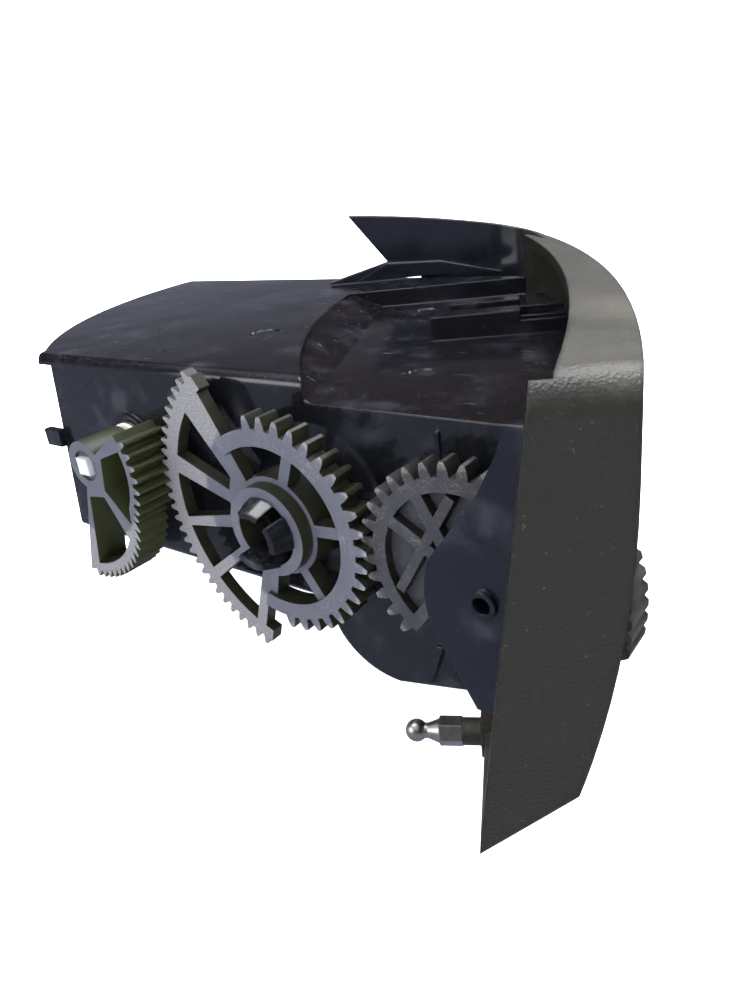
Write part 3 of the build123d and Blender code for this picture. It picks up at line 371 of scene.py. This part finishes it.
class OutletStudio(bpy.types.PropertyGroup):
    """Sizes of the studio round the outlet."""

    camera_place: FloatVectorProperty(
        name="Camera place",
        description="Where the camera stands in the part's frame",
        default=(0.1781, -0.1282, 0.0509),
        subtype="TRANSLATION",
        unit="LENGTH",
    )
    focal_length: FloatProperty(
        name="Focal length", description="Lens, in millimetres on a 36 mm sensor", default=27.18
    )
    key_power: FloatProperty(
        name="Key light", description="Power of the overhead softbox", default=6.0, unit="POWER"
    )
    paper_glow: FloatProperty(
        name="Paper glow", description="How strongly the white paper lights the part", default=0.75
    )


class OUTLET_OT_housing(bpy.types.Operator):
    """Finish the duct housing and the side bracket"""

    bl_idname = "outlet.housing"
    bl_label = "Housing"

    def execute(self, context):
        finish = context.scene.outlet_finish
        duct = moulded_gloss_abs("Moulded gloss ABS, duct", finish.housing_colour, "#6c6f7c", 0.5)
        paint(["duct_housing"], duct)
        plate = moulded_gloss_abs("Moulded gloss ABS, bracket", "#090b12", "#6c6f7c", 0.3)
        paint(["side_bracket"], plate)
        return {"FINISHED"}


class OUTLET_OT_bezel(bpy.types.Operator):
    """Finish the grained bezel"""

    bl_idname = "outlet.bezel"
    bl_label = "Bezel"

    def execute(self, context):
        finish = context.scene.outlet_finish
        paint(["bezel"], grained_abs("Grained ABS, bezel", finish.bezel_colour, "#857d68"))
        return {"FINISHED"}


class OUTLET_OT_gears(bpy.types.Operator):
    """Finish the three gears and the thumbwheel's grip"""

    bl_idname = "outlet.gears"
    bl_label = "Gear train"

    def execute(self, context):
        finish = context.scene.outlet_finish
        dust = finish.dust_colour
        # Painted light: body is the painted lit face colour, and the last colour of each call is the painted
        # shade on the flanks.
        body = finish.gear_lit_face_colour
        paint(["transfer_gear"], acetal_with_dust_and_painted_light("Acetal, transfer gear", TRAIN_AXIS, 19.5, body, dust, "#1c1d13"))
        paint(["flap_gear"], acetal_with_dust_and_painted_light("Acetal, flap gear", FLAP_AXIS, 15.75, body, dust, "#262a16"))
        paint(["thumbwheel"], acetal_with_dust_and_painted_light("Acetal, thumbwheel", WHEEL_AXIS, 17.0, "#24252b", dust, "#161612"))
        paint(["thumbwheel_grip"], plain_plastic("Soft-touch elastomer, grip", "#121211", 0.6))
        return {"FINISHED"}


class OUTLET_OT_metal(bpy.types.Operator):
    """Finish the studs and pin"""

    bl_idname = "outlet.metal"
    bl_label = "Metal"

    def execute(self, context):
        paint(["ball_stud_near", "ball_stud_far"], zinc_plate("Zinc plated steel, stud", "#c9c6bd", "#8f8a7e"))
        paint(["thumbwheel_pin"], zinc_plate("Zinc plated steel, pin", "#8c8a86", "#5d5a55"))
        return {"FINISHED"}


class OUTLET_OT_vanes(bpy.types.Operator):
    """Finish the vanes, their frame and the knob"""

    bl_idname = "outlet.vanes"
    bl_label = "Vanes"

    def execute(self, context):
        nodes = frame["nodes"]
        vanes = [name for name in nodes if "vane" in name]
        paint(vanes, plain_plastic("Moulded ABS, vanes", "#131313", 0.4, 1.54))
        paint(["slider_knob"], plain_plastic("Satin ABS, knob", "#1b1b1c", 0.3, 1.54))
        paint(["knob_fork"], plain_plastic("Acetal, fork", "#2a2a2b", 0.4))
        return {"FINISHED"}


class OUTLET_OT_flap(bpy.types.Operator):
    """Finish the shut-off flap, its shaft and its bushes"""

    bl_idname = "outlet.flap"
    bl_label = "Flap"

    def execute(self, context):
        paint(["flap_blade"], plain_plastic("Moulded polypropylene, flap", "#1a1a1b", 0.45))
        paint(["flap_shaft"], plain_plastic("Glass filled nylon, shaft", "#8e9097", 0.45))
        paint(["shaft_bush_near", "shaft_bush_far"], plain_plastic("Acetal, bush", "#c9c5b8", 0.4, 1.48))
        paint(["flap_foam"], open_cell_foam("Open cell foam, seal", "#2b2b2d"))
        return {"FINISHED"}


def area_light(name, place, aim, size, power, colour=(1.0, 1.0, 1.0)):
    """A square softbox at a place, turned to its aim."""
    data = bpy.data.lights.new(name, "AREA")
    data.shape = "RECTANGLE"
    data.size, data.size_y = size
    data.energy = power
    data.color = colour
    lamp = bpy.data.objects.new(name, data)
    bpy.context.scene.collection.objects.link(lamp)
    lamp.location = place
    lamp.rotation_euler = (Vector(aim) - Vector(place)).to_track_quat("-Z", "Y").to_euler()
    return lamp


def stage_piece(name, shape, material):
    """A surface of the studio, left out of glossy reflections so that the plastic stays black."""
    mesh = bpy.data.meshes.new(name)
    shape.to_mesh(mesh)
    shape.free()
    mesh.materials.append(material)
    piece = bpy.data.objects.new(name, mesh)
    piece.visible_glossy = False
    bpy.context.scene.collection.objects.link(piece)


class OUTLET_OT_stage(bpy.types.Operator):
    """Set the floor, the lights and the camera"""

    bl_idname = "outlet.stage"
    bl_label = "Stage"

    def execute(self, context):
        studio = context.scene.outlet_studio
        scene = context.scene
        paper, tree = new_material("Seamless paper, backdrop")
        shader = add(
            tree,
            "ShaderNodeBsdfPrincipled",
            {
                "Base Color": linear("#f6f6f6"),
                "Roughness": 0.95,
                "Emission Color": linear("#ffffff"),
                "Emission Strength": studio.paper_glow,
            },
        )
        finish_surface(tree, shader)
        floor_z = CAD_LOW.z - 0.5 * MM
        shape = bmesh.new()
        bmesh.ops.create_grid(shape, x_segments=1, y_segments=1, size=3.0)
        bmesh.ops.translate(shape, verts=shape.verts, vec=(0.0, 0.0, floor_z))
        stage_piece("studio_floor", shape, paper)
        shape = bmesh.new()
        bmesh.ops.create_uvsphere(shape, u_segments=48, v_segments=24, radius=2.4)
        bmesh.ops.reverse_faces(shape, faces=shape.faces)
        stage_piece("studio_dome", shape, paper)

        world = bpy.data.worlds.new("studio_world")
        scene.world = world
        world.use_nodes = True
        tree = world.node_tree
        tree.nodes.clear()
        place = add(tree, "ShaderNodeTexCoord").outputs["Generated"]
        height = add(tree, "ShaderNodeSeparateXYZ", {"Vector": place}).outputs["Z"]
        room = tint(tree, mask(tree, height, 0.0, 0.3), linear("#8c93a6"), linear("#3a2d27"))
        room = tint(tree, mask(tree, height, 0.5, 0.8), room, linear("#d5dcf0"))
        sky = add(tree, "ShaderNodeBackground", {"Color": room, "Strength": 1.0})
        add(tree, "ShaderNodeOutputWorld", {"Surface": sky.outputs["Background"]})

        centre = (CAD_LOW + CAD_HIGH) / 2
        overhead = centre + Vector((-0.1, 0.1, 0.7))
        area_light("overhead_softbox", overhead, centre, (0.7, 0.35), studio.key_power)
        area_light("near_softbox", centre + Vector((-0.35, -0.6, 0.25)), centre, (0.5, 0.3), 2.0)
        area_light("rim_strip", centre + Vector((0.05, 0.55, 0.5)), centre, (0.6, 0.12), 2.0)

        camera = bpy.data.cameras.new("studio_camera")
        camera.lens = studio.focal_length
        camera.sensor_width = 36.0
        camera.clip_start = 0.005
        holder = bpy.data.objects.new("studio_camera", camera)
        scene.collection.objects.link(holder)
        right = Vector((0.800, 0.588, -0.118)).normalized()
        forward = Vector((-0.579, 0.705, -0.410)).normalized()
        up = right.cross(forward).normalized()
        right = forward.cross(up)
        turn = Matrix((right, up, -forward)).transposed()
        holder.matrix_world = Matrix.Translation(Vector(studio.camera_place)) @ turn.to_4x4()
        scene.camera = holder
        scene.view_settings.view_transform = "Standard"
        return {"FINISHED"}


class OUTLET_PT_panel(bpy.types.Panel):
    """Lists the outlet's finishing steps"""

    bl_label = "Air Outlet"
    bl_idname = "OUTLET_PT_panel"
    bl_space_type = "VIEW_3D"
    bl_region_type = "UI"
    bl_category = "Air Outlet"

    def draw(self, context):
        layout = self.layout
        for name in ("housing_colour", "bezel_colour", "gear_lit_face_colour", "dust_colour"):
            layout.prop(context.scene.outlet_finish, name)
        for name in ("camera_place", "focal_length", "key_power", "paper_glow"):
            layout.prop(context.scene.outlet_studio, name)
        for operator in OPERATORS:
            layout.operator(operator.bl_idname)


OPERATORS = (
    OUTLET_OT_housing,
    OUTLET_OT_bezel,
    OUTLET_OT_gears,
    OUTLET_OT_metal,
    OUTLET_OT_vanes,
    OUTLET_OT_flap,
    OUTLET_OT_stage,
)
CLASSES = (OutletFinish, OutletStudio, *OPERATORS, OUTLET_PT_panel)


def register():
    for cls in CLASSES:
        bpy.utils.register_class(cls)
    bpy.types.Scene.outlet_finish = PointerProperty(type=OutletFinish)
    bpy.types.Scene.outlet_studio = PointerProperty(type=OutletStudio)


def unregister():
    del bpy.types.Scene.outlet_studio
    del bpy.types.Scene.outlet_finish
    for cls in reversed(CLASSES):
        bpy.utils.unregister_class(cls)


def main():
    register()
    bpy.ops.outlet.housing()
    bpy.ops.outlet.bezel()
    bpy.ops.outlet.gears()
    bpy.ops.outlet.metal()
    bpy.ops.outlet.vanes()
    bpy.ops.outlet.flap()
    bpy.ops.outlet.stage()


if __name__ == "__main__":
    main()
